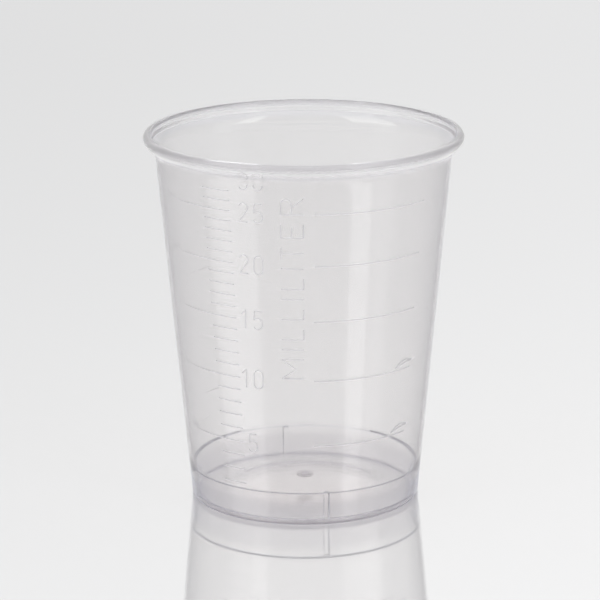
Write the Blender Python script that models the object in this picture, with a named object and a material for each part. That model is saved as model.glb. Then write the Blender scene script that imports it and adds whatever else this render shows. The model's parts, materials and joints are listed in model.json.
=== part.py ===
"""A thin-walled, graduated 30 ml measuring cup, moulded in one piece.

One turned section gives the floor, foot, wall and flared lip. Ribs inside the foot and raised
graduation strokes on the wall are then fused to it. Each stroke sits at the height where the cup
holds its volume, so the scale follows the section when a size changes.
Metres, +Z up, origin at the middle of the underside, front of the cup towards -Y.
"""
import math

import bmesh
import bpy
from mathutils import Matrix, Vector

MM = 0.001
MILLILITRE = 1000.0

# Wall and overall sizes, in millimetres
HEIGHT = 43.4
FOOT_RADIUS = 13.3
WALL_TAPER = math.radians(5.33)
WALL = 0.36

# Flared lip: a rounded bead at the end of a straight flare
LIP_RADIUS = 18.5
LIP_BEAD = 0.62
LIP_WIDTH = 0.87
LIP_EDGE_ROUND = 0.2
FLARE_ANGLE_OUTSIDE = math.radians(45)
FLARE_ANGLE_INSIDE = math.radians(40)
NECK_ROUND_OUTSIDE = 1.0
NECK_ROUND_INSIDE = 3.0

# Foot: a thicker band under the ledge that a nested cup stands on; the ledge slopes a little inwards
LEDGE_HEIGHT = 3.95
LEDGE_DROP = 0.12
LEDGE_ROUND = 0.08
LEDGE_EDGE_ROUND = 0.1
BAND = 1.0
BAND_ROUND = 0.25
FOOT_ROUND = 0.45

# Floor: a flat ring that carries the cup, and a shallow dome inside it
FLOOR = 0.5
FOOT_RING = 4.0
DOME_RADIUS = FOOT_RADIUS - FOOT_RING
DOME_RISE = 1.5
DOME_STEPS = 4

# Moulding gate in the middle of the dome: a well below, its pip, and a pad above
GATE_WELL_RADIUS = 1.2
GATE_WELL_DEPTH = 0.3
GATE_PIP_RADIUS = 0.5
GATE_PIP_HEIGHT = 0.2
GATE_PAD_HEIGHT = 0.15
GATE_ROUND = 0.06

# Upright ribs inside the foot band
RIB_COUNT = 2
RIB_TURN = math.radians(10.8)
RIB_WIDTH = 0.64
RIB_PROUD = 0.45
RIB_SET_DOWN = 0.15
RIB_NOSE_STEPS = 4

# Raised graduation strokes; angles run from the front towards +X
STROKE_WIDTH = 0.24
STROKE_TOP_WIDTH = 0.14
STROKE_RELIEF = 0.12
STROKE_STEP = math.radians(7)
FINE_SCALE = (math.radians(-42), math.radians(-29.5))
MAIN_SCALE = (math.radians(-65), math.radians(-29.5))
LONG_SCALE = (math.radians(4), math.radians(53))
SPOON_SCALE = (math.radians(-132), math.radians(-117))
MARK_CLEARANCE = 0.6
FINE_MARK_EVERY = 1
MAIN_MARK_EVERY = 5
SPOON_VOLUMES = (4.93, 14.79)

SEGMENTS = 72
ARC_STEP = math.radians(22.5)


def clear_scene():
    """Starts from an empty scene."""
    for thing in list(bpy.data.objects):
        bpy.data.objects.remove(thing, do_unlink=True)


def wall_radius(height):
    """Outer radius of the tapered wall at a height."""
    return FOOT_RADIUS + height * math.tan(WALL_TAPER)


def inner_radius(height, thickness=WALL):
    """Radius of a surface that lies one thickness inside the tapered wall's outside."""
    return wall_radius(height) - thickness / math.cos(WALL_TAPER)


def meeting_point(radius_at_zero, point, lean):
    """Where the wall's line meets the line through a point that leans outwards from upright."""
    slope = math.tan(lean)
    taper = math.tan(WALL_TAPER)
    height = (point[0] - slope * point[1] - radius_at_zero) / (taper - slope)
    return radius_at_zero + taper * height, height


def dome_height(radius, base):
    """Height of the spherical dome at a radius, above its flat ring."""
    sphere = (DOME_RADIUS ** 2 + DOME_RISE ** 2) / (2 * DOME_RISE)
    return base + math.sqrt(sphere ** 2 - radius ** 2) - (sphere - DOME_RISE)


def dome_points(base):
    """Points of the dome from the gate's edge out to the flat ring."""
    points = []
    for step in range(DOME_STEPS + 1):
        radius = GATE_WELL_RADIUS + (DOME_RADIUS - GATE_WELL_RADIUS) * step / DOME_STEPS
        points.append((radius, dome_height(radius, base), 0.0))
    return points


def under_side():
    """Underside from the axis to the foot: gate pip, gate well, dome and flat ring."""
    well = dome_height(0.0, 0.0) + GATE_WELL_DEPTH
    pip = well - GATE_PIP_HEIGHT
    gate = [
        (0.0, pip, 0.0),
        (GATE_PIP_RADIUS, pip, GATE_ROUND),
        (GATE_PIP_RADIUS, well, 0.0),
        (GATE_WELL_RADIUS, well, 0.0),
    ]
    return gate + dome_points(0.0) + [(FOOT_RADIUS, 0.0, FOOT_ROUND)]


def lip():
    """Outer neck, bead, top edge and inner neck of the flared lip."""
    bead_centre = (LIP_RADIUS - LIP_BEAD, HEIGHT - LIP_BEAD)
    reach = LIP_BEAD * math.tan((math.pi / 2 - FLARE_ANGLE_OUTSIDE) / 2)
    side_corner = (LIP_RADIUS, bead_centre[1] - reach)
    outer_neck = meeting_point(FOOT_RADIUS, side_corner, FLARE_ANGLE_OUTSIDE)
    inner_edge = (LIP_RADIUS - LIP_WIDTH, HEIGHT)
    inner_neck = meeting_point(inner_radius(0.0), inner_edge, FLARE_ANGLE_INSIDE)
    return [
        (*outer_neck, NECK_ROUND_OUTSIDE),
        (*side_corner, LIP_BEAD),
        (LIP_RADIUS, HEIGHT, LIP_BEAD),
        (*inner_edge, LIP_EDGE_ROUND),
        (*inner_neck, NECK_ROUND_INSIDE),
    ]


def inside():
    """Inside from the wall's foot to the axis: ledge, band, floor and gate pad."""
    pad = dome_height(0.0, FLOOR) + GATE_PAD_HEIGHT
    ledge_edge = LEDGE_HEIGHT - LEDGE_DROP
    foot = [
        (inner_radius(LEDGE_HEIGHT), LEDGE_HEIGHT, LEDGE_ROUND),
        (inner_radius(ledge_edge, BAND), ledge_edge, LEDGE_EDGE_ROUND),
        (inner_radius(FLOOR, BAND), FLOOR, BAND_ROUND),
    ]
    dome = list(reversed(dome_points(FLOOR)))
    return foot + dome + [(GATE_WELL_RADIUS, pad, GATE_ROUND), (0.0, pad, 0.0)]


def fillet_reach(before, corner, after, radius):
    """Distance from a corner to where its fillet starts, and the angle that the fillet turns."""
    turn = (corner - before).angle(after - corner)
    return radius * math.tan(turn / 2), turn


def rounded(corners):
    """Section with every corner replaced by an arc, each arc kept within the legs beside it."""
    points = [Vector((r, z)) for r, z, radius in corners]
    reaches = [0.0]
    turns = [0.0]
    for i in range(1, len(points) - 1):
        reach, turn = fillet_reach(points[i - 1], points[i], points[i + 1], corners[i][2])
        reaches.append(reach)
        turns.append(turn)
    reaches.append(0.0)
    turns.append(0.0)
    section = []
    for i, corner in enumerate(points):
        if reaches[i] == 0.0:
            section.append(corner)
            continue
        legs = (points[i - 1] - corner, points[i + 1] - corner)
        shares = (reaches[i - 1] + reaches[i], reaches[i] + reaches[i + 1])
        fit = min(1.0, legs[0].length / shares[0], legs[1].length / shares[1])
        reach = reaches[i] * fit
        section.extend(corner_arc(corner, legs, reach, turns[i]))
    return section


def corner_arc(corner, legs, reach, turn):
    """Points of the arc that rounds one corner between its two legs."""
    start = corner + legs[0].normalized() * reach
    end = corner + legs[1].normalized() * reach
    middle_way = (legs[0].normalized() + legs[1].normalized()).normalized()
    radius = reach / math.tan(turn / 2)
    centre = corner + middle_way * (radius / math.cos(turn / 2))
    steps = max(1, round(turn / ARC_STEP))
    arm = start - centre
    side = 1.0 if arm.cross(end - centre) > 0 else -1.0
    arc = []
    for step in range(steps + 1):
        angle = side * turn * step / steps
        arc.append(centre + Matrix.Rotation(angle, 2) @ arm)
    return arc


def held_volume(section, height):
    """Volume in millilitres under a liquid level, from the floor's centre up the inside."""
    volume = 0.0
    for low, high in zip(section, section[1:]):
        if low.y >= height and high.y >= height:
            continue
        top = high
        if high.y > height:
            top = low.lerp(high, (height - low.y) / (high.y - low.y))
        mean_square = (low.x ** 2 + low.x * top.x + top.x ** 2) / 3
        volume += math.pi * mean_square * (top.y - low.y)
    return volume / MILLILITRE


def level_of(section, volume):
    """Height of the liquid level for a volume, found by halving the interval."""
    low = dome_height(0.0, FLOOR) + GATE_PAD_HEIGHT
    high = HEIGHT
    for _ in range(40):
        middle = (low + high) / 2
        if held_volume(section, middle) < volume:
            low = middle
        else:
            high = middle
    return middle


def inner_section():
    """Inside surface alone, from the floor's centre up to the lip's top edge."""
    top = lip()[-2:]
    return rounded([(LIP_RADIUS, HEIGHT, 0.0)] + top + inside())[::-1]


def mesh_object(name, shape):
    """Scene object in metres from a bmesh drawn in millimetres."""
    bmesh.ops.recalc_face_normals(shape, faces=shape.faces)
    bmesh.ops.scale(shape, vec=(MM, MM, MM), verts=shape.verts)
    mesh = bpy.data.meshes.new(name)
    shape.to_mesh(mesh)
    shape.free()
    thing = bpy.data.objects.new(name, mesh)
    bpy.context.scene.collection.objects.link(thing)
    return thing


def turned_body():
    """Cup body: the whole section spun once round the axis."""
    shape = bmesh.new()
    section = rounded(under_side() + lip() + inside())
    verts = [shape.verts.new((point.x, 0.0, point.y)) for point in section]
    edges = [shape.edges.new(pair) for pair in zip(verts, verts[1:])]
    bmesh.ops.spin(shape, geom=verts + edges, cent=(0, 0, 0), axis=(0, 0, 1),
                   angle=2 * math.pi, steps=SEGMENTS, use_merge=True)
    bmesh.ops.remove_doubles(shape, verts=shape.verts, dist=MM)
    return mesh_object("medicine_cup", shape)


def rib_outline(height):
    """Plan of a rib at a height: its root in the wall and its half-round nose."""
    root = wall_radius(height) - WALL / 2
    half = RIB_WIDTH / 2
    nose = inner_radius(FLOOR, BAND) - RIB_PROUD + half
    outline = [Vector((root, half, height))]
    for step in range(RIB_NOSE_STEPS + 1):
        angle = math.pi / 2 + math.pi * step / RIB_NOSE_STEPS
        outline.append(Vector((nose + half * math.cos(angle), half * math.sin(angle), height)))
    outline.append(Vector((root, -half, height)))
    return outline


def foot_ribs():
    """Upright ribs on the foot band, rooted in the floor and stopping just under the ledge."""
    shape = bmesh.new()
    for number in range(RIB_COUNT):
        turn = RIB_TURN + 2 * math.pi * number / RIB_COUNT - math.pi / 2
        place = Matrix.Rotation(turn, 4, "Z")
        loops = []
        for height in (FLOOR / 2, LEDGE_HEIGHT - RIB_SET_DOWN):
            verts = [shape.verts.new(place @ point) for point in rib_outline(height)]
            loops.append(shape.faces.new(verts))
        bmesh.ops.bridge_loops(shape, edges=[edge for face in loops for edge in face.edges])
    return mesh_object("foot_ribs", shape)


def stroke_outline(height):
    """Cross-section of a stroke: rooted in the wall, drafted sides, narrower at its crest."""
    half = STROKE_WIDTH / 2
    crest = STROKE_TOP_WIDTH / 2
    corners = []
    for offset, relief in ((-half, -WALL / 2), (-half, 0.0), (-crest, STROKE_RELIEF),
                           (crest, STROKE_RELIEF), (half, 0.0), (half, -WALL / 2)):
        corners.append((wall_radius(height + offset) + relief, height + offset))
    return corners


def add_stroke(shape, height, span):
    """One stroke that follows the wall round between two angles."""
    steps = max(2, round((span[1] - span[0]) / STROKE_STEP))
    loops = []
    for step in range(steps + 1):
        angle = span[0] + (span[1] - span[0]) * step / steps
        ring = []
        for radius, z in stroke_outline(height):
            ring.append(shape.verts.new((radius * math.sin(angle), -radius * math.cos(angle), z)))
        loops.append(ring)
    for ring, following in zip(loops, loops[1:]):
        for i in range(len(ring)):
            j = (i + 1) % len(ring)
            shape.faces.new((ring[i], ring[j], following[j], following[i]))
    shape.faces.new(loops[0])
    shape.faces.new(reversed(loops[-1]))


def marked_volumes(section, every):
    """Volumes, a step apart, whose marks fit on the plain wall between the ledge and the neck."""
    lowest = held_volume(section, LEDGE_HEIGHT + MARK_CLEARANCE)
    highest = held_volume(section, lip()[0][1] - MARK_CLEARANCE)
    first = math.ceil(lowest / every)
    last = math.floor(highest / every)
    return [every * number for number in range(first, last + 1)]


def graduations():
    """Raised scale: fine marks, main marks each side, and the spoon measures at the back."""
    section = inner_section()
    main_volumes = marked_volumes(section, MAIN_MARK_EVERY)
    shape = bmesh.new()
    for volume in marked_volumes(section, FINE_MARK_EVERY):
        span = MAIN_SCALE if volume in main_volumes else FINE_SCALE
        add_stroke(shape, level_of(section, volume), span)
    for volume in main_volumes:
        add_stroke(shape, level_of(section, volume), LONG_SCALE)
    for volume in SPOON_VOLUMES:
        add_stroke(shape, level_of(section, volume), SPOON_SCALE)
    return mesh_object("graduations", shape)


def fuse(body, tool):
    """Joins a tool solid to the body with a live Boolean and hides the tool."""
    join = body.modifiers.new(tool.name, "BOOLEAN")
    join.operation = "UNION"
    join.solver = "EXACT"
    join.object = tool
    tool.hide_render = True
    tool.display_type = "WIRE"


def polypropylene():
    """Clear, slightly milky plastic."""
    material = bpy.data.materials.new("clear_polypropylene")
    material.use_nodes = True
    shader = material.node_tree.nodes["Principled BSDF"]
    shader.inputs["Base Color"].default_value = (0.86, 0.87, 0.89, 1.0)
    shader.inputs["Roughness"].default_value = 0.12
    shader.inputs["Metallic"].default_value = 0.0
    shader.inputs["IOR"].default_value = 1.49
    shader.inputs["Transmission Weight"].default_value = 0.9
    return material


def build():
    """Makes the cup and fuses its ribs and scale."""
    clear_scene()
    cup = turned_body()
    fuse(cup, foot_ribs())
    fuse(cup, graduations())
    cup.data.materials.append(polypropylene())
    cup.data.shade_smooth()
    cup.data.set_sharp_from_angle(angle=math.radians(30))


build()
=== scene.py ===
# %% [markdown]
# A small see-through measuring cup
#
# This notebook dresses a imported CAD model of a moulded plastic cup. The CAD cup gives the true size
# and place. Here the same form is modelled again with many more facets, gets its raised numbers and
# letters, and is rendered as clear, slightly milky polypropylene on a glossy pale sheet.

import json
import math

import bmesh
import bpy
from mathutils import Euler, Matrix, Vector

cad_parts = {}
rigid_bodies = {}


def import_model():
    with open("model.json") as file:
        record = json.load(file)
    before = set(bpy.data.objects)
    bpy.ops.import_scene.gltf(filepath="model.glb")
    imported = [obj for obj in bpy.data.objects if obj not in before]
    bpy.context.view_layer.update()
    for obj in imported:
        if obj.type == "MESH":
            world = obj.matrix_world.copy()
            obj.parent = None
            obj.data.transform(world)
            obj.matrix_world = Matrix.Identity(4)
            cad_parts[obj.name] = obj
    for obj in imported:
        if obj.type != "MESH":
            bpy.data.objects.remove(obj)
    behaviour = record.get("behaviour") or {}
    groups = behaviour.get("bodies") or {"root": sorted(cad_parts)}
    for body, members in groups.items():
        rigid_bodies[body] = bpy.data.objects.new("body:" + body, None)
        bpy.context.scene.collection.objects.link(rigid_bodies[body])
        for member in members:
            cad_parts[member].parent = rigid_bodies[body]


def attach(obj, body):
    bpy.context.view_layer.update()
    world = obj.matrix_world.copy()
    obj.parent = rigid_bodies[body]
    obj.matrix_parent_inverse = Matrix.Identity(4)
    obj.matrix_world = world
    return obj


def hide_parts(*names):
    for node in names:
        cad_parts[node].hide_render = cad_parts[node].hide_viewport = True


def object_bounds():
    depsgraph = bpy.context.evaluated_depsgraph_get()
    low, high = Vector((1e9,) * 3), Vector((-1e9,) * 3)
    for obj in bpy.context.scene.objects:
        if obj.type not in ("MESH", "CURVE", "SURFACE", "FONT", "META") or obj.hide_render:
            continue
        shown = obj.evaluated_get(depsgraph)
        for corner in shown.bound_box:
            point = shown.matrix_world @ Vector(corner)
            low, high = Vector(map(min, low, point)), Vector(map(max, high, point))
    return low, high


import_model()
cad_low, cad_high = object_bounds()
print("CAD box:", tuple(cad_low), tuple(cad_high))

# %% [markdown]
# Sizes
#
# A scene in Blender is in metres, but a cup is easier to think of in millimetres. Each size is
# written once with a name. The height and the lip's radius are read from the frame, so that the
# fine model can't grow out of the CAD box.

# %% Sizes of the cup
MM = 0.001
HEIGHT = cad_high.z
LIP_RADIUS = cad_high.x
FOOT_RADIUS = 13.3 * MM
TAPER = math.tan(math.radians(5.33))
WALL = 0.36 * MM
BAND = 0.72 * MM
LEDGE_HEIGHT = 3.95 * MM
LEDGE_DROP = 0.12 * MM
LEDGE_ROUND = 0.08 * MM
LEDGE_EDGE_ROUND = 0.1 * MM
BAND_ROUND = 0.4 * MM
FLOOR = 0.5 * MM
DOME_RADIUS = FOOT_RADIUS - 4.0 * MM
DOME_RISE = 1.5 * MM
SLANT = math.cos(math.atan(TAPER))


def wall_radius(height, inwards=0.0):
    """Radius of the tapered wall at a height, measured some way into its thickness."""
    return FOOT_RADIUS + TAPER * height - inwards / SLANT


print("Lip radius", LIP_RADIUS, "and wall radius under the lip", wall_radius(41 * MM))

# %% [markdown]
# The turned section
#
# The real cup comes out of a mould that was turned on a lathe, so its section is drawn once and
# spun round the axis. Drawing only the corners and rounding each with a vertex bevel keeps the
# drawing short, and every fillet can be changed by one number. Long straight parts are cut into
# short steps, because a smooth shade needs small faces round the letters that are fused on later.

# %% Corners of the section, each with its fillet radius
LIP_BEAD = 0.62 * MM
LIP_WIDTH = 0.87 * MM
LIP_EDGE_ROUND = 0.24 * MM
LIP_DEPTH = 1.2 * MM
LIP_FOOT_ROUND = 0.6 * MM
NECK_ROUND = 1.2 * MM
FLARE_ANGLE = math.radians(45)
FLARE = math.tan(FLARE_ANGLE)
BEAD_SHARE = 1 + math.tan(FLARE_ANGLE / 2)
FOOT_ROUND = 0.45 * MM
GATE_RADIUS = 0.95 * MM
GATE_DEPTH = 0.3 * MM
PIP_RADIUS = 0.4 * MM
PIP_HEIGHT = 0.2 * MM
PAD_HEIGHT = 0.15 * MM
PIP_EDGE_ROUND = 0.08 * MM
PIP_FOOT_ROUND = 0.05 * MM
WELL_EDGE_ROUND = 0.06 * MM
PAD_EDGE_ROUND = 0.07 * MM


def dome(radius, base):
    """Height of the shallow spherical dome over its flat ring."""
    sphere = (DOME_RADIUS ** 2 + DOME_RISE ** 2) / (2 * DOME_RISE)
    return base + math.sqrt(sphere ** 2 - radius ** 2) - (sphere - DOME_RISE)


def dome_corners(base, steps=10):
    """Points of the dome from the gate out to the flat ring."""
    radii = [GATE_RADIUS + (DOME_RADIUS - GATE_RADIUS) * step / steps for step in range(steps + 1)]
    return [(radius, dome(radius, base), 0.0) for radius in radii]


def where_flare_meets_wall(point, inwards):
    """Corner between the wall's line and the flare's line through a point of the lip."""
    height = (point[0] - FLARE * point[1] - wall_radius(0.0, inwards)) / (TAPER - FLARE)
    return wall_radius(height, inwards), height


def section_corners():
    """All corners from the middle of the underside, round the lip, to the middle of the floor."""
    well = dome(0.0, 0.0) + GATE_DEPTH
    pad = dome(0.0, FLOOR) + PAD_HEIGHT
    bead_side = (LIP_RADIUS, HEIGHT - LIP_BEAD * BEAD_SHARE)
    lip_edge = (LIP_RADIUS - LIP_WIDTH, HEIGHT)
    lip_foot = (LIP_RADIUS - LIP_WIDTH, HEIGHT - LIP_DEPTH)
    ledge_edge = LEDGE_HEIGHT - LEDGE_DROP
    gate = [(0.0, well - PIP_HEIGHT, 0.0), (PIP_RADIUS, well - PIP_HEIGHT, PIP_EDGE_ROUND)]
    gate += [(PIP_RADIUS, well, PIP_FOOT_ROUND), (GATE_RADIUS, well, WELL_EDGE_ROUND)]
    foot = [(FOOT_RADIUS, 0.0, FOOT_ROUND)]
    lip = [(*where_flare_meets_wall(bead_side, 0.0), NECK_ROUND)]
    lip += [(*bead_side, LIP_BEAD), (LIP_RADIUS, HEIGHT, LIP_BEAD), (*lip_edge, LIP_EDGE_ROUND)]
    lip += [(*lip_foot, LIP_FOOT_ROUND)]
    lip += [(*where_flare_meets_wall(lip_foot, WALL), NECK_ROUND + WALL)]
    inside = [(wall_radius(LEDGE_HEIGHT, WALL), LEDGE_HEIGHT, LEDGE_ROUND)]
    inside += [(wall_radius(ledge_edge, BAND), ledge_edge, LEDGE_EDGE_ROUND)]
    inside += [(wall_radius(FLOOR, BAND), FLOOR, BAND_ROUND)]
    middle = [(GATE_RADIUS, pad, PAD_EDGE_ROUND), (0.0, pad, 0.0)]
    return gate + dome_corners(0.0) + foot + lip + inside + dome_corners(FLOOR)[::-1] + middle


corners = section_corners()
print(len(corners), "corners in the section")

# %% [markdown]
# A vertex bevel measures how far it cuts back along both legs. A fillet of radius r on a corner
# that turns by an angle starts r times the tangent of half that angle away, so the helper works
# that out and hands it to the bevel.

# %% Spin the section into the cup
SEGMENTS = 288
ARC_STEP = math.radians(10)
LONGEST_FACE = 1.2 * MM
DOUBLES = 0.0001 * MM


def rounded_wire(shape, corners):
    """Wire of the section with each corner bevelled to an arc."""
    verts = [shape.verts.new((radius, 0.0, height)) for radius, height, fillet in corners]
    for pair in zip(verts, verts[1:]):
        shape.edges.new(pair)
    places = [vert.co.copy() for vert in verts]
    for i, vert in enumerate(verts[1:-1], start=1):
        fillet = corners[i][2]
        if fillet == 0.0:
            continue
        turn = (places[i] - places[i - 1]).angle(places[i + 1] - places[i])
        reach = fillet * math.tan(turn / 2)
        bmesh.ops.bevel(shape, geom=[vert], offset=reach, offset_type="OFFSET",
                        segments=max(2, round(turn / ARC_STEP)), profile=0.5,
                        affect="VERTICES", material=-1)
    for edge in list(shape.edges):
        cuts = int(edge.calc_length() / LONGEST_FACE)
        if cuts:
            bmesh.ops.subdivide_edges(shape, edges=[edge], cuts=cuts)


def spun_cup():
    """Mesh of the cup's body, turned all the way round and closed on the axis."""
    shape = bmesh.new()
    rounded_wire(shape, section_corners())
    bmesh.ops.spin(shape, geom=list(shape.verts) + list(shape.edges), cent=(0, 0, 0), axis=(0, 0, 1),
                   angle=2 * math.pi, steps=SEGMENTS, use_merge=True)
    bmesh.ops.remove_doubles(shape, verts=shape.verts, dist=DOUBLES)
    bmesh.ops.recalc_face_normals(shape, faces=shape.faces)
    return shape


def finished(name, shape):
    """Puts a finished bmesh into the scene as an object at the origin."""
    mesh = bpy.data.meshes.new(name)
    shape.to_mesh(mesh)
    shape.free()
    thing = bpy.data.objects.new(name, mesh)
    bpy.context.scene.collection.objects.link(thing)
    return thing


cup = finished("moulded_cup", spun_cup())
print("Cup body:", len(cup.data.polygons), "faces")

# %% [markdown]
# Ribs inside the foot
#
# Small upright ribs stiffen the foot band. Each starts as a cube, is leaned outwards to follow the
# wall, and has its free edges bevelled, because a mould can't hold a sharp edge.

# %% Foot ribs
RIB_COUNT = 2
RIB_TURN = math.radians(10.8)
RIB_WIDTH = 0.64 * MM
RIB_PROUD = 0.45 * MM
RIB_TOP = LEDGE_HEIGHT - 0.15 * MM
RIB_EDGE_ROUND = 0.2 * MM


def foot_rib(turn):
    """One rib, rooted in the wall and in the floor."""
    nose = wall_radius(FLOOR, BAND) - RIB_PROUD
    root = wall_radius(0.0, WALL / 2)
    low = FLOOR / 2
    shape = bmesh.new()
    bmesh.ops.create_cube(shape, size=1.0)
    bmesh.ops.scale(shape, vec=(root - nose, RIB_WIDTH, RIB_TOP - low), verts=shape.verts)
    bmesh.ops.translate(shape, vec=((root + nose) / 2, 0.0, (RIB_TOP + low) / 2), verts=shape.verts)
    for vert in shape.verts:
        if vert.co.x > (root + nose) / 2:
            vert.co.x += TAPER * vert.co.z
    free = [edge for edge in shape.edges if all(vert.co.x < (root + nose) / 2 for vert in edge.verts)]
    free = [edge for edge in free if max(vert.co.z for vert in edge.verts) > FLOOR]
    bmesh.ops.bevel(shape, geom=free, offset=RIB_EDGE_ROUND, offset_type="OFFSET", segments=4,
                    profile=0.5, affect="EDGES", material=-1)
    place = Matrix.Rotation(turn - math.pi / 2, 3, "Z")
    bmesh.ops.rotate(shape, cent=(0, 0, 0), matrix=place, verts=shape.verts)
    return finished("foot_rib", shape)


ribs = [foot_rib(RIB_TURN + 2 * math.pi * number / RIB_COUNT) for number in range(RIB_COUNT)]
print(len(ribs), "foot ribs")

# %% [markdown]
# Where the marks sit
#
# The scale is honest: each mark sits where the cup holds its volume. The inside is split into thin
# cones, their volumes are added from the floor up, and the height of a volume is read between the
# two nearest sums.

# %% Volume under a liquid level
MILLILITRE = 1e-6


def inside_points():
    """Inside corners from the middle of the floor up to the lip, as radius and height."""
    corners = section_corners()
    lip = next(i for i, corner in enumerate(corners) if corner[1] == HEIGHT and corner[0] < LIP_RADIUS)
    return [(radius, height) for radius, height, fillet in corners[lip:]][::-1]


def held_volume(level):
    """Volume in millilitres that the cup holds up to a level."""
    volume = 0.0
    points = inside_points()
    for (low_radius, low), (high_radius, high) in zip(points, points[1:]):
        if low >= level and high >= level:
            continue
        if high > level:
            high_radius = low_radius + (high_radius - low_radius) * (level - low) / (high - low)
            high = level
        mean_square = (low_radius ** 2 + low_radius * high_radius + high_radius ** 2) / 3
        volume += math.pi * mean_square * (high - low)
    return volume / MILLILITRE


def level_of(volume):
    """Height at which the cup holds a volume, found by halving."""
    low, high = dome(0.0, FLOOR) + PAD_HEIGHT, HEIGHT
    for _ in range(30):
        middle = (low + high) / 2
        if held_volume(middle) < volume:
            low = middle
        else:
            high = middle
    return middle


print("Marks:", {volume: round(level_of(volume) / MM, 2) for volume in (5, 10, 15, 20, 25, 30)}, "mm")

# %% [markdown]
# Raised strokes
#
# A mould maker cuts a scale with a small ball-nosed cutter, so each stroke stands out of the
# plastic as the shallow cap of a round bar. A disc spun part of the way round the cup gives that
# bar, and most of it stays buried in the wall. A mould that opens to the front and the back would
# catch on proud strokes at the sides, so the bars sink deeper there.

# %% Scale strokes
STROKE = 0.16 * MM
STROKE_SUNK = 0.12 * MM
STROKE_STEP = math.radians(1.5)
FINE_SCALE = (math.radians(-42), math.radians(-29.5))
MAIN_SCALE = (math.radians(-65), math.radians(-29.5))
LONG_SCALE = (math.radians(4), math.radians(53))
SPOON_SCALE = (math.radians(-132), math.radians(-117))
SPOON_VOLUMES = (4.93, 14.79)
LAST_FINE_MARK = 27
SIDE_SUNK = 0.026 * MM
SIDE_START = math.radians(38)
SIDE_END = math.radians(65)


def scale_stroke(shape, volume, span):
    """Adds one buried bar that follows the wall between two angles at a volume's level."""
    level = level_of(volume)
    disc = bmesh.ops.create_circle(shape, cap_ends=True, segments=16, radius=STROKE)["verts"]
    upright = Matrix.Rotation(math.pi / 2, 3, "X")
    bmesh.ops.rotate(shape, cent=(0, 0, 0), matrix=upright, verts=disc)
    bmesh.ops.translate(shape, vec=(wall_radius(level) - STROKE_SUNK, 0.0, level), verts=disc)
    start = Matrix.Rotation(span[0] - math.pi / 2, 3, "Z")
    bmesh.ops.rotate(shape, cent=(0, 0, 0), matrix=start, verts=disc)
    face = disc[0].link_faces[0]
    steps = max(3, round((span[1] - span[0]) / STROKE_STEP))
    bmesh.ops.spin(shape, geom=[face] + list(face.edges) + list(face.verts), cent=(0, 0, 0),
                   axis=(0, 0, 1), angle=span[1] - span[0], steps=steps, use_merge=False)


def settle(verts):
    """Sinks points deeper into the wall the nearer they are to a side of the cup."""
    for vert in verts:
        radius = math.hypot(vert.co.x, vert.co.y)
        side = math.asin(min(1.0, abs(vert.co.x) / radius))
        sunk = SIDE_SUNK * max(0.0, side - SIDE_START) / (SIDE_END - SIDE_START)
        vert.co.x *= 1 - sunk / radius
        vert.co.y *= 1 - sunk / radius


def scale():
    """All the raised strokes of the cup's scales."""
    shape = bmesh.new()
    for volume in range(2, LAST_FINE_MARK + 1):
        scale_stroke(shape, volume, FINE_SCALE if volume % 5 else MAIN_SCALE)
        if volume % 5 == 0:
            scale_stroke(shape, volume, LONG_SCALE)
    for volume in SPOON_VOLUMES:
        scale_stroke(shape, volume, SPOON_SCALE)
    settle(shape.verts)
    bmesh.ops.recalc_face_normals(shape, faces=shape.faces)
    return finished("scale_strokes", shape)


strokes = scale()
print("Scale strokes:", len(strokes.data.polygons), "faces")

# %% [markdown]
# Numbers and the unit word
#
# Raised lettering is drawn as single lines, the way an engraver's machine follows a stencil. Each
# letter is a few lines in a box one unit high. A curve with a round bevel turns the lines into
# bars, and every point is wrapped onto the tapered wall by its distance round from the front. Near
# the lip the wall turns into the flare, so the points follow whichever of the two is further out.

# %% Single-line letters
NECK_BLEND = 0.17 * MM
LETTER_STEP = 0.3 * MM


def arc(centre, radii, start, end, steps=10):
    """Points of an arc of an ellipse, with angles in degrees, counter-clockwise from the right."""
    points = []
    for step in range(steps + 1):
        angle = math.radians(start + (end - start) * step / steps)
        points.append((centre[0] + radii[0] * math.cos(angle), centre[1] + radii[1] * math.sin(angle)))
    return points


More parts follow.
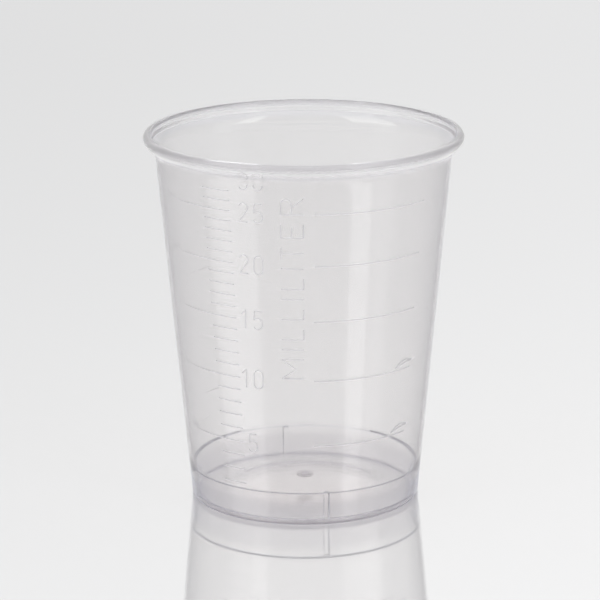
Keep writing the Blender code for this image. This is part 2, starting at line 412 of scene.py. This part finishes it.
LETTERS = {
    "0": (0.48, [arc((0.24, 0.74), (0.24, 0.26), 0, 180) + arc((0.24, 0.26), (0.24, 0.26), 180, 360)
                 + [(0.48, 0.74)]]),
    "1": (0.36, [[(0.24, 0.0), (0.24, 1.0)], [(0.24, 1.0), (0.0, 0.76)]]),
    "2": (0.48, [arc((0.24, 0.75), (0.24, 0.25), 165, -35) + [(0.02, 0.0)], [(0.0, 0.0), (0.48, 0.0)]]),
    "3": (0.46, [arc((0.22, 0.76), (0.22, 0.24), 150, -90), arc((0.22, 0.26), (0.24, 0.26), 90, -150)]),
    "5": (0.48, [[(0.44, 1.0), (0.06, 1.0)], [(0.06, 1.0), (0.02, 0.52)],
                 [(0.02, 0.52)] + arc((0.22, 0.31), (0.26, 0.31), 105, -145)]),
    "M": (0.92, [[(0.0, 0.0), (0.0, 1.0)], [(0.0, 1.0), (0.46, 0.35)], [(0.46, 0.35), (0.92, 1.0)],
                 [(0.92, 1.0), (0.92, 0.0)]]),
    "I": (0.0, [[(0.0, 0.0), (0.0, 1.0)]]),
    "L": (0.48, [[(0.0, 1.0), (0.0, 0.0)], [(0.0, 0.0), (0.48, 0.0)]]),
    "T": (0.5, [[(0.25, 0.0), (0.25, 1.0)], [(0.0, 1.0), (0.5, 1.0)]]),
    "E": (0.6, [[(0.0, 1.0), (0.0, 0.0)], [(0.0, 0.0), (0.6, 0.0)], [(0.0, 1.0), (0.6, 1.0)],
                [(0.0, 0.52), (0.5, 0.52)]]),
    "R": (0.74, [[(0.0, 0.0), (0.0, 1.0)],
                 [(0.0, 1.0), (0.46, 1.0)] + arc((0.46, 0.76), (0.26, 0.24), 90, -90) + [(0.0, 0.52)],
                 [(0.34, 0.52), (0.74, 0.0)]]),
}


def on_wall(distance, height):
    """Point just under the outside at a distance round from the front and a height."""
    flare = LIP_RADIUS - FLARE * (HEIGHT - LIP_BEAD * BEAD_SHARE - height)
    wall = wall_radius(height)
    radius = (wall + flare + math.hypot(wall - flare, NECK_BLEND)) / 2 - STROKE_SUNK
    angle = distance / radius
    return Vector((radius * math.sin(angle), -radius * math.cos(angle), height))


def finely(points, step):
    """The same line with extra points, so that it can bend round the wall."""
    fine = [Vector(points[0])]
    for start, end in zip(points, points[1:]):
        start, end = Vector(start), Vector(end)
        pieces = max(1, math.ceil((end - start).length / step))
        fine += [start.lerp(end, piece / pieces) for piece in range(1, pieces + 1)]
    return fine


def add_line(curve, points):
    """Adds one line through points to a curve."""
    spline = curve.splines.new("POLY")
    spline.points.add(len(points) - 1)
    for target, point in zip(spline.points, points):
        target.co = (*point, 1.0)


def write(curve, word, size, place, gap):
    """Adds a word's lines to a curve; place turns a point of the word into a point on the wall."""
    along = 0.0
    for letter in word:
        width, lines = LETTERS[letter]
        for line in lines:
            scaled = [(along + x * size, y * size) for x, y in line]
            add_line(curve, [place(*point) for point in finely(scaled, LETTER_STEP)])
        along += width * size + gap


def word_length(word, size, gap):
    """Length of a word from its first line to its last."""
    return sum(LETTERS[letter][0] * size for letter in word) + gap * (len(word) - 1)


print("Letters drawn:", "".join(LETTERS))

# %% [markdown]
# Place the lettering
#
# The numbers stand upright beside the fine scale, in one column, each at the height of its mark.
# Only the top one sits lower than its mark, because the lip is in the way. The unit word is turned
# a quarter so that it reads upwards, in the middle of the front. Two long lines end in a small
# pointed outline. The curve becomes a mesh here, so that it can be fused to the cup.

# %% Place the numbers and the unit word
NUMBER_HEIGHT = 2.2 * MM
NUMBER_GAP = 0.7 * MM
NUMBER_MIDDLE = -6.05 * MM
WORD_HEIGHT = 2.5 * MM
WORD_GAP = 1.2 * MM
WORD_START = 18.1 * MM
WORD_BASE = -0.1 * MM
TOP_NUMBER_HEIGHT = 41.3 * MM
LEAF_VOLUMES = (5, 10)
LEAF_ENDS = (math.radians(43), math.radians(54))
LEAF_LIFT = 0.3 * MM
LEAF_CLIMB = 0.55 * MM
LEAF_BULGES = (0.45 * MM, 0.09 * MM)
LEAF_STEPS = 12


def leaf(curve, level):
    """Small pointed outline over the end of a long line."""
    start = wall_radius(level) * LEAF_ENDS[0]
    length = wall_radius(level) * LEAF_ENDS[1] - start
    for bulge in LEAF_BULGES:
        points = []
        for step in range(LEAF_STEPS + 1):
            share = step / LEAF_STEPS
            rise = LEAF_LIFT + LEAF_CLIMB * share + bulge * math.sin(math.pi * share)
            points.append(on_wall(start + length * share, level + rise))
        add_line(curve, points)


def lettering():
    """Curve object with every raised number and the unit word."""
    curve = bpy.data.curves.new("lettering", "CURVE")
    curve.dimensions = "3D"
    curve.bevel_depth = STROKE
    curve.bevel_resolution = 4
    curve.use_fill_caps = True
    middles = {str(volume): level_of(volume) for volume in (5, 10, 15, 20, 25)}
    middles["30"] = TOP_NUMBER_HEIGHT
    for number, middle in middles.items():
        left = NUMBER_MIDDLE - word_length(number, NUMBER_HEIGHT, NUMBER_GAP) / 2
        low = middle - NUMBER_HEIGHT / 2
        write(curve, number, NUMBER_HEIGHT, lambda x, y: on_wall(left + x, low + y), NUMBER_GAP)
    write(curve, "MILLILITER", WORD_HEIGHT, lambda x, y: on_wall(WORD_BASE - y, WORD_START + x),
          WORD_GAP)
    for volume in LEAF_VOLUMES:
        leaf(curve, level_of(volume))
    thing = bpy.data.objects.new("lettering_lines", curve)
    bpy.context.scene.collection.objects.link(thing)
    bpy.context.view_layer.update()
    mesh = bpy.data.meshes.new_from_object(thing.evaluated_get(bpy.context.evaluated_depsgraph_get()))
    bpy.data.objects.remove(thing)
    raised = bpy.data.objects.new("lettering", mesh)
    bpy.context.scene.collection.objects.link(raised)
    return raised


letters = lettering()
print("Lettering:", len(letters.data.polygons), "faces")

# %% [markdown]
# One piece of plastic
#
# Light bends at every surface of a clear body, so a rib or stroke that merely overlapped the wall
# would show a false surface inside it. A Boolean union removes the buried parts and leaves one
# closed skin. Its faces are shaded smooth, except across the edges that turn sharply.

# %% Fuse everything into one body
SHARP_TURN = math.radians(25)


def joined(name, things):
    """One object in place of several."""
    shape = bmesh.new()
    for thing in things:
        shape.from_mesh(thing.data)
        bpy.data.objects.remove(thing)
    return finished(name, shape)


def fuse(body, tool):
    """Unites a tool with the body and removes it."""
    union = body.modifiers.new("union", "BOOLEAN")
    union.operation = "UNION"
    union.solver = "EXACT"
    union.use_self = True
    union.object = tool
    bpy.context.view_layer.update()
    graph = bpy.context.evaluated_depsgraph_get()
    skin = bpy.data.meshes.new_from_object(body.evaluated_get(graph))
    body.modifiers.clear()
    body.data = skin
    bpy.data.objects.remove(tool)
    skin.shade_smooth()
    skin.set_sharp_from_angle(angle=SHARP_TURN)


fuse(cup, joined("raised_marks", ribs + [strokes, letters]))
open_edges = bmesh.new()
open_edges.from_mesh(cup.data)
print("Fused cup:", len(cup.data.polygons), "faces and",
      sum(not edge.is_manifold for edge in open_edges.edges), "open edges")
open_edges.free()
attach(cup, "root")
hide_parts("medicine_cup")

# %% [markdown]
# Shader sums as plain expressions
#
# Node trees are easier to read as sums. A value remembers the output that it stands for, and each
# operator adds one Math node.

# %% A small language for finishes
class Value:
    """One output of a node, on which sums can be written."""

    def __init__(self, board, socket):
        self.board = board
        self.socket = socket

    def sum(self, operation, first, second):
        """Adds the Math node for one operation."""
        made = self.board.node("ShaderNodeMath", {"operation": operation}, {0: first, 1: second})
        return made["Value"]

    def __add__(self, other):
        return self.sum("ADD", self, other)

    def __sub__(self, other):
        return self.sum("SUBTRACT", self, other)

    def __rsub__(self, other):
        return self.sum("SUBTRACT", other, self)

    def __mul__(self, other):
        return self.sum("MULTIPLY", self, other)

    __radd__ = __add__
    __rmul__ = __mul__


class Outputs:
    """Outputs of one node, looked up by name."""

    def __init__(self, board, made):
        self.board = board
        self.made = made

    def __getitem__(self, name):
        return Value(self.board, self.made.outputs[name])


class Board:
    """The node tree of one finish or of the world."""

    def __init__(self, tree):
        self.tree = tree
        tree.nodes.clear()

    def node(self, kind, settings=None, inputs=None):
        """Adds a node, sets it up, and fills or links its inputs."""
        made = self.tree.nodes.new(kind)
        for name, value in (settings or {}).items():
            setattr(made, name, value)
        for key, value in (inputs or {}).items():
            if isinstance(value, Value):
                self.tree.links.new(value.socket, made.inputs[key])
            else:
                made.inputs[key].default_value = value
        return Outputs(self, made)


print("Board and Value are ready")

# %% [markdown]
# Where the plastic is thick, and where shade and light are painted
#
# Light is coloured by the way it has to go through the plastic, so the thick foot band looks a little
# warmer and darker than the thin wall. Its darkening towards the bottom is painted shade. So are
# the dark lines at the ledge inside the foot, round the foot's bottom edge and along the top of the lip
# bead, and a slight shade on the flare under the lip. The gate is tinted darker, and the lip bead gets
# a paler milk that is painted light. A turned cup needs only two measures to find these places: the
# height, and the reach from the axis. Each mask below is a smooth step in one of them, or a product
# of two. A third measure is how far a point stands out of the tapered wall, which finds the raised
# marks.

# %% Masks of the thick and the raised places, and of painted shade and light
FOOT_TOP = (LEDGE_HEIGHT + 0.25 * MM, LEDGE_HEIGHT + 0.1 * MM)
BAND_REACH = (12.0 * MM, 12.3 * MM)
# The foot band's tint and milk stand partly for its thicker plastic and partly for painted shade, which
# deepens from the first height down to the second.
BAND_SHADE_FADE = (3.4 * MM, 2.2 * MM)
BAND_TOP_SHARE = 0.3
# Painted shade: a dark line on the ledge inside the foot, placed by these limits.
LEDGE_SHADE_RISE = (LEDGE_HEIGHT - 0.25 * MM, LEDGE_HEIGHT - 0.15 * MM)
LEDGE_SHADE_DEPTH = (-0.52 * MM, -0.62 * MM)
RING_REACH = (6.4 * MM, 9.4 * MM)
GATE_REACH = (0.65 * MM, 0.4 * MM)
# Painted shade: a dark line round the bottom edge of the foot, where it stands on the sheet.
CONTACT_SHADE_RISE = (0.5 * MM, 0.3 * MM)
CONTACT_SHADE_REACH = (12.5 * MM, 12.8 * MM)
NECK_RISE = (41.3 * MM, 41.7 * MM)
LIP_REACH = (17.6 * MM, 18.0 * MM)
# Painted shade: a dark line along the outer top of the lip bead.
RIM_SHADE_REACH = (18.1 * MM, 18.25 * MM)
RIM_SHADE_RISE = (42.75 * MM, 42.9 * MM)
MARK_PROUD = (0.005 * MM, 0.03 * MM)
MARK_TOP = (40.85 * MM, 40.75 * MM)


def step(board, value, limits):
    """Smooth step from 0 at the first limit to 1 at the second."""
    made = board.node("ShaderNodeMapRange", {"interpolation_type": "SMOOTHSTEP"}, {
        "Value": value, "From Min": limits[0], "From Max": limits[1]})
    return made["Result"]


def masks(board, place):
    """Masks from 0 to 1 of the cup's thick and raised places, painted shade and painted light, by name.
    """
    axes = board.node("ShaderNodeSeparateXYZ", None, {0: place})
    height = axes["Z"]
    flat = board.node("ShaderNodeCombineXYZ", None, {"X": axes["X"], "Y": axes["Y"]})["Vector"]
    reach = board.node("ShaderNodeVectorMath", {"operation": "LENGTH"}, {0: flat})["Value"]
    proud = reach - (FOOT_RADIUS + TAPER * height)
    foot = step(board, height, FOOT_TOP)
    band = foot * step(board, reach, BAND_REACH)
    # Painted shade: the dark line on the ledge inside the foot.
    ledge = band * step(board, height, LEDGE_SHADE_RISE) * step(board, proud, LEDGE_SHADE_DEPTH)
    # Painted shade along the outer top of the lip bead.
    rim = step(board, reach, RIM_SHADE_REACH) * step(board, height, RIM_SHADE_RISE)
    neck = step(board, height, NECK_RISE)
    return {
        "floor": foot - band,
        # Foot band: thicker plastic, plus painted shade that deepens towards the bottom.
        "low_band": band * (BAND_TOP_SHARE + (1 - BAND_TOP_SHARE) * step(board, height, BAND_SHADE_FADE)),
        "ledge": ledge,
        "ring": foot * step(board, reach, RING_REACH) * (1 - band),
        "gate": foot * step(board, reach, GATE_REACH),
        # Painted contact shadow round the bottom edge of the foot.
        "edge": step(board, height, CONTACT_SHADE_RISE) * step(board, reach, CONTACT_SHADE_REACH),
        "rim": rim,
        "neck": neck,
        # Painted shade: a slight darker, bluer tint on the flare under the lip.
        "flare": neck * (1 - rim),
        # Lip bead: more haze where it is thick, and a paler milk that is painted light.
        "lip": step(board, reach, LIP_REACH),
        "mark": step(board, proud, MARK_PROUD) * step(board, height, MARK_TOP),
    }


print("Mask helpers are ready")

# %% [markdown]
# Polypropylene
#
# The plastic is clear but a little milky. Most light goes straight through and gets a trace warmer,
# and a small share is scattered, which looks a trace bluer. More is scattered where the wall is
# seen at a slant, because light then travels a longer way in it. So a clear shader is mixed with
# a pale one that shines through, and the share follows the viewing angle. The masks add a tint to
# the clear shader and more haze to the mix where the plastic is thick, or rough as on the marks.
# Some tints are painted shade: dark lines at the ledge, at the foot's bottom edge and along the
# top of the lip bead, a slight shade on the flare, and a darker, bluer milk on the foot band that
# deepens towards the bottom. The paler milk of the lip is painted light.
# Faint flow marks from the mould vary the gloss. Lamps shine through a thin clear wall, which the
# renderer is told by treating shadow rays as passing, with the warm colour of the light that is left.

# %% Clear milky polypropylene
IOR = 1.49
FLOW_SCALE = 90.0
ROUGH_LEAST = 0.02
ROUGH_FLOW = 0.04
HAZE_FACING = 0.05
HAZE_SLANTED = 0.3
HAZE_FLOW = 0.02
HAZE = {"neck": 0.05, "lip": 0.12, "low_band": 0.11, "floor": 0.06, "mark": 0.35}
MILK_FRONT = Vector((0.74, 0.74, 0.79))
MILK_BEHIND = Vector((0.76, 0.74, 0.77))
# Painted light: paler milk that makes the lip bead look lit.
MILK_LIP_PAINTED_LIGHT = Vector((0.95, 0.94, 0.94))
# Darker, bluer milk of the foot band: partly its thicker plastic, partly painted shade.
MILK_BAND_SHADED = Vector((0.68, 0.7, 0.8))
TINT = Vector((0.99, 0.982, 0.978))
# Warmer, darker tint of the foot band: partly its thicker plastic, partly painted shade.
BAND_TINT_AND_SHADE = Vector((0.88, 0.854, 0.84))
RING_TINT = Vector((0.98, 0.99, 0.99))
# Painted shade: dark colour of the ledge line inside the foot.
LEDGE_SHADE_TINT = Vector((0.6, 0.6, 0.64))
GATE_TINT = Vector((0.64, 0.59, 0.66))
# Painted shade: dark colour of the line round the foot's bottom edge.
CONTACT_SHADE_TINT = Vector((0.42, 0.39, 0.41))
# Painted shade: dark colour of the line along the top of the lip bead.
RIM_SHADE_TINT = Vector((0.58, 0.57, 0.6))
# Painted shade: slight darker, bluer tint of the flare under the lip.
FLARE_SHADE_TINT = Vector((0.94, 0.937, 0.95))
PASSING = (0.87, 0.855, 0.84, 1.0)


def tinted(board, colour, share, change):
    """Colour moved by a share of a change."""
    moved = board.node("ShaderNodeVectorMath", {"operation": "SCALE"}, {0: change, "Scale": share})
    return board.node("ShaderNodeVectorMath", None, {0: colour, 1: moved["Vector"]})["Vector"]


def mixed(board, share, first, second):
    """Two shaders mixed, with a share of the second."""
    return board.node("ShaderNodeMixShader", None, {0: share, 1: first, 2: second})["Shader"]


def milk(board, front, behind):
    """Pale scattering, half of light from the front and half of light from behind."""
    lit_front = board.node("ShaderNodeBsdfDiffuse", None, {"Color": (*front, 1.0)})["BSDF"]
    lit_behind = board.node("ShaderNodeBsdfTranslucent", None, {"Color": (*behind, 1.0)})["BSDF"]
    return mixed(board, 0.5, lit_front, lit_behind)


def clear_plastic(board, place, flow):
    """Clear shader with the tints of the thick places and of the painted shade."""
    tint = TINT
    # The band's tint is partly painted shade. The ledge, the foot's bottom edge, the rim and the flare
    # get painted shade.
    changes = {"low_band": BAND_TINT_AND_SHADE - TINT, "ring": RING_TINT - TINT, "ledge": LEDGE_SHADE_TINT - BAND_TINT_AND_SHADE,
               "gate": GATE_TINT - TINT, "edge": CONTACT_SHADE_TINT - BAND_TINT_AND_SHADE, "rim": RIM_SHADE_TINT - TINT,
               "flare": FLARE_SHADE_TINT - TINT}
    for name, change in changes.items():
        tint = tinted(board, tint, place[name], change)
    return board.node("ShaderNodeBsdfPrincipled", None, {
        "Base Color": tint, "Roughness": ROUGH_LEAST + ROUGH_FLOW * flow, "IOR": IOR,
        "Transmission Weight": 1.0})["BSDF"]


def polypropylene():
    """Finish of the moulded cup."""
    material = bpy.data.materials.new("clear_polypropylene")
    material.use_nodes = True
    board = Board(material.node_tree)
    spot = board.node("ShaderNodeTexCoord")["Object"]
    flow = board.node("ShaderNodeTexNoise", None, {
        "Vector": spot, "Scale": FLOW_SCALE, "Detail": 3.0})["Fac"]
    place = masks(board, spot)
    pale = milk(board, MILK_FRONT, MILK_BEHIND)
    # Paler milk on the lip bead, painted light.
    pale = mixed(board, place["lip"], pale, milk(board, MILK_LIP_PAINTED_LIGHT, MILK_LIP_PAINTED_LIGHT))
    # Darker milk on the foot band, partly painted shade.
    pale = mixed(board, place["low_band"], pale, milk(board, MILK_BAND_SHADED, MILK_BAND_SHADED))
    slant = board.node("ShaderNodeLayerWeight", None, {"Blend": 0.5})["Facing"]
    haze = HAZE_FACING + HAZE_SLANTED * (slant * slant * slant) + HAZE_FLOW * flow
    for name, share in HAZE.items():
        haze = haze + share * place[name]
    body = mixed(board, haze, clear_plastic(board, place, flow), pale)
    lamps = board.node("ShaderNodeLightPath")["Is Shadow Ray"]
    through = board.node("ShaderNodeBsdfTransparent", None, {"Color": PASSING})["BSDF"]
    board.node("ShaderNodeOutputMaterial", None, {"Surface": mixed(board, lamps, body, through)})
    return material


cup.data.materials.clear()
cup.data.materials.append(polypropylene())
print("Finish:", cup.data.materials[0].name)

# %% [markdown]
# The table
#
# The cup stands on a polished pale sheet that runs out of sight, which gives the seamless
# background and the mirror image under the foot. Polished plastic shows its own pale colour and a
# mirror image together, so a matt shader is mixed with a glossy one. The sheet lies a hair's breadth
# under the cup, because two faces in one place would flicker.

# %% Polished sheet
SHEET_SIZE = 3.0
SHEET_MIRROR = 0.65
SHEET_COLOUR = (0.78, 0.78, 0.79, 1.0)
SHEET_ROUGHNESS = 0.015
AIR_GAP = 0.02 * MM


def polished_sheet():
    """Pale polished sheet under the cup."""
    shape = bmesh.new()
    bmesh.ops.create_grid(shape, x_segments=1, y_segments=1, size=SHEET_SIZE)
    bmesh.ops.translate(shape, vec=(0.0, 0.0, -AIR_GAP), verts=shape.verts)
    sheet = finished("polished_sheet", shape)
    material = bpy.data.materials.new("polished_pale_sheet")
    material.use_nodes = True
    board = Board(material.node_tree)
    matt = board.node("ShaderNodeBsdfDiffuse", None, {"Color": SHEET_COLOUR})["BSDF"]
    mirror = board.node("ShaderNodeBsdfGlossy", None, {
        "Color": (1.0, 1.0, 1.0, 1.0), "Roughness": SHEET_ROUGHNESS})["BSDF"]
    both = mixed(board, SHEET_MIRROR, matt, mirror)
    board.node("ShaderNodeOutputMaterial", None, {"Surface": both})
    sheet.data.materials.append(material)
    return sheet


print("Stage:", polished_sheet().name)

# %% [markdown]
# The light tent
#
# Clear things are photographed in a white tent, because what shows in them is mostly what stands
# round them. The tent is drawn in the world's nodes as a brightness for each direction, so it needs
# no lamps and adds no noise. Its walls are pale. Dark cloth at both sides draws the cup's dim edges,
# a dimmer gap is left where the camera looks in, and a tall soft box on each side of the gap draws
# an upright bright band on the wall. A panel is a product of two soft masks, one for the turn round
# the cup and one for the rise over the table.

# %% The tent as a brightness for each direction
AROUND = 0.90
LOW_BACK = 0.83
WINDOW_LOW = 0.77
WINDOW_HIGH = 0.99
WINDOW_TILT = 0.09
WINDOW_SIDES = (-24, 24)
WINDOW_LEVELS = (7, 30)
WINDOW_CLIMB = (8, 26)
WINDOW_EDGE = 4
TILT_WIDTH = (-0.15, 0.15)
HIGH_BACK = 0.95
SIDE = 0.34
FRONT_LOW = 0.62
GAP = 0.46
BOX_LEFT = 1.95
BOX_RIGHT = 2.2
TOP = 1.3


def ramp(board, value, start, end):
    """Smooth step between two angles in degrees."""
    return step(board, value, (math.radians(start), math.radians(end)))


def patch(board, turn, rise, sides, levels, soft):
    """Mask of a soft-edged patch of the tent between two turns and two rises."""
    across = ramp(board, turn, sides[0] - soft, sides[0] + soft)
    across = across - ramp(board, turn, sides[1] - soft, sides[1] + soft)
    up = ramp(board, rise, levels[0] - soft, levels[0] + soft)
    up = up - ramp(board, rise, levels[1] - soft, levels[1] + soft)
    return across * up


def panels():
    """Level of each panel, where its turn counts from, its turns and rises, and its softness."""
    return [
        (LOW_BACK, "back", (-40, 40), (-95, 7), 2),
        (HIGH_BACK, "back", (-60, 60), (30, 60), 5),
        (SIDE, "back", (24, 102), (-95, 38), 8),
        (SIDE, "back", (-102, -24), (-95, 38), 8),
        (FRONT_LOW, "front", (-60, 60), (-20, 16), 6),
        (GAP, "front", (-38, 36), (18, 60), 6),
        (BOX_LEFT, "front", (-84, -40), (20, 60), 1.2),
        (BOX_RIGHT, "front", (39, 56), (20, 60), 1.2),
        (TOP, "back", (-200, 200), (62, 100), 6),
    ]


def turn_from(board, across, ahead):
    """Turn round the cup, counted from the way ahead."""
    return board.node("ShaderNodeMath", {"operation": "ARCTAN2"}, {0: across, 1: ahead})["Value"]


def studio_tent():
    """World whose brightness is that of a lit tent round the cup."""
    world = bpy.data.worlds.new("studio_tent")
    world.use_nodes = True
    board = Board(world.node_tree)
    toward = board.node("ShaderNodeTexCoord")["Generated"]
    axes = board.node("ShaderNodeSeparateXYZ", None, {0: toward})
    turns = {"back": turn_from(board, axes["X"], axes["Y"])}
    turns["front"] = turn_from(board, axes["X"], -1 * axes["Y"])
    rise = board.node("ShaderNodeMath", {"operation": "ARCSINE"}, {0: axes["Z"]})["Value"]
    window = WINDOW_LOW + (WINDOW_HIGH - WINDOW_LOW) * ramp(board, rise, *WINDOW_CLIMB)
    window = window + WINDOW_TILT * (step(board, axes["X"], TILT_WIDTH) - 0.5)
    opening = patch(board, turns["back"], rise, WINDOW_SIDES, WINDOW_LEVELS, WINDOW_EDGE)
    light = AROUND + opening * (window - AROUND)
    for level, end, sides, rises, soft in panels():
        light = light + (level - AROUND) * patch(board, turns[end], rise, sides, rises, soft)
    glow = board.node("ShaderNodeBackground", None, {"Color": (1.0, 1.0, 1.0, 1.0), "Strength": light})
    board.node("ShaderNodeOutputWorld", None, {"Surface": glow["Background"]})
    bpy.context.scene.world = world


studio_tent()
print("The tent has", len(panels()), "panels and a window")

# %% [markdown]
# The camera
#
# A long lens from a little above the lip. Its place is given by the distance to the aim point and
# the height angle, and it leans by a quarter of a degree as the picture does.

# %% Camera
AIM = Vector((-0.51, 0.0, 23.2)) * MM
DISTANCE = 374.4 * MM
HEIGHT_ANGLE = math.radians(15.285)
LEAN = math.radians(-0.283)
LENS = 192.4
SENSOR = 36.0
NEAREST = 0.01
FARTHEST = 20.0


def camera():
    """Camera that aims at the cup from the front, with its lean."""
    data = bpy.data.cameras.new("camera")
    data.sensor_width = SENSOR
    data.lens = LENS
    data.clip_start = NEAREST
    data.clip_end = FARTHEST
    thing = bpy.data.objects.new("camera", data)
    back = Vector((0.0, -math.cos(HEIGHT_ANGLE), math.sin(HEIGHT_ANGLE)))
    thing.location = AIM + back * DISTANCE
    thing.rotation_euler = Euler((math.pi / 2 - HEIGHT_ANGLE, 0.0, 0.0))
    thing.rotation_euler = (thing.rotation_euler.to_matrix() @ Matrix.Rotation(LEAN, 3, "Z")).to_euler()
    bpy.context.scene.collection.objects.link(thing)
    bpy.context.scene.camera = thing


camera()
bpy.context.scene.view_settings.view_transform = "Standard"
print("Camera at", tuple(bpy.context.scene.camera.location))
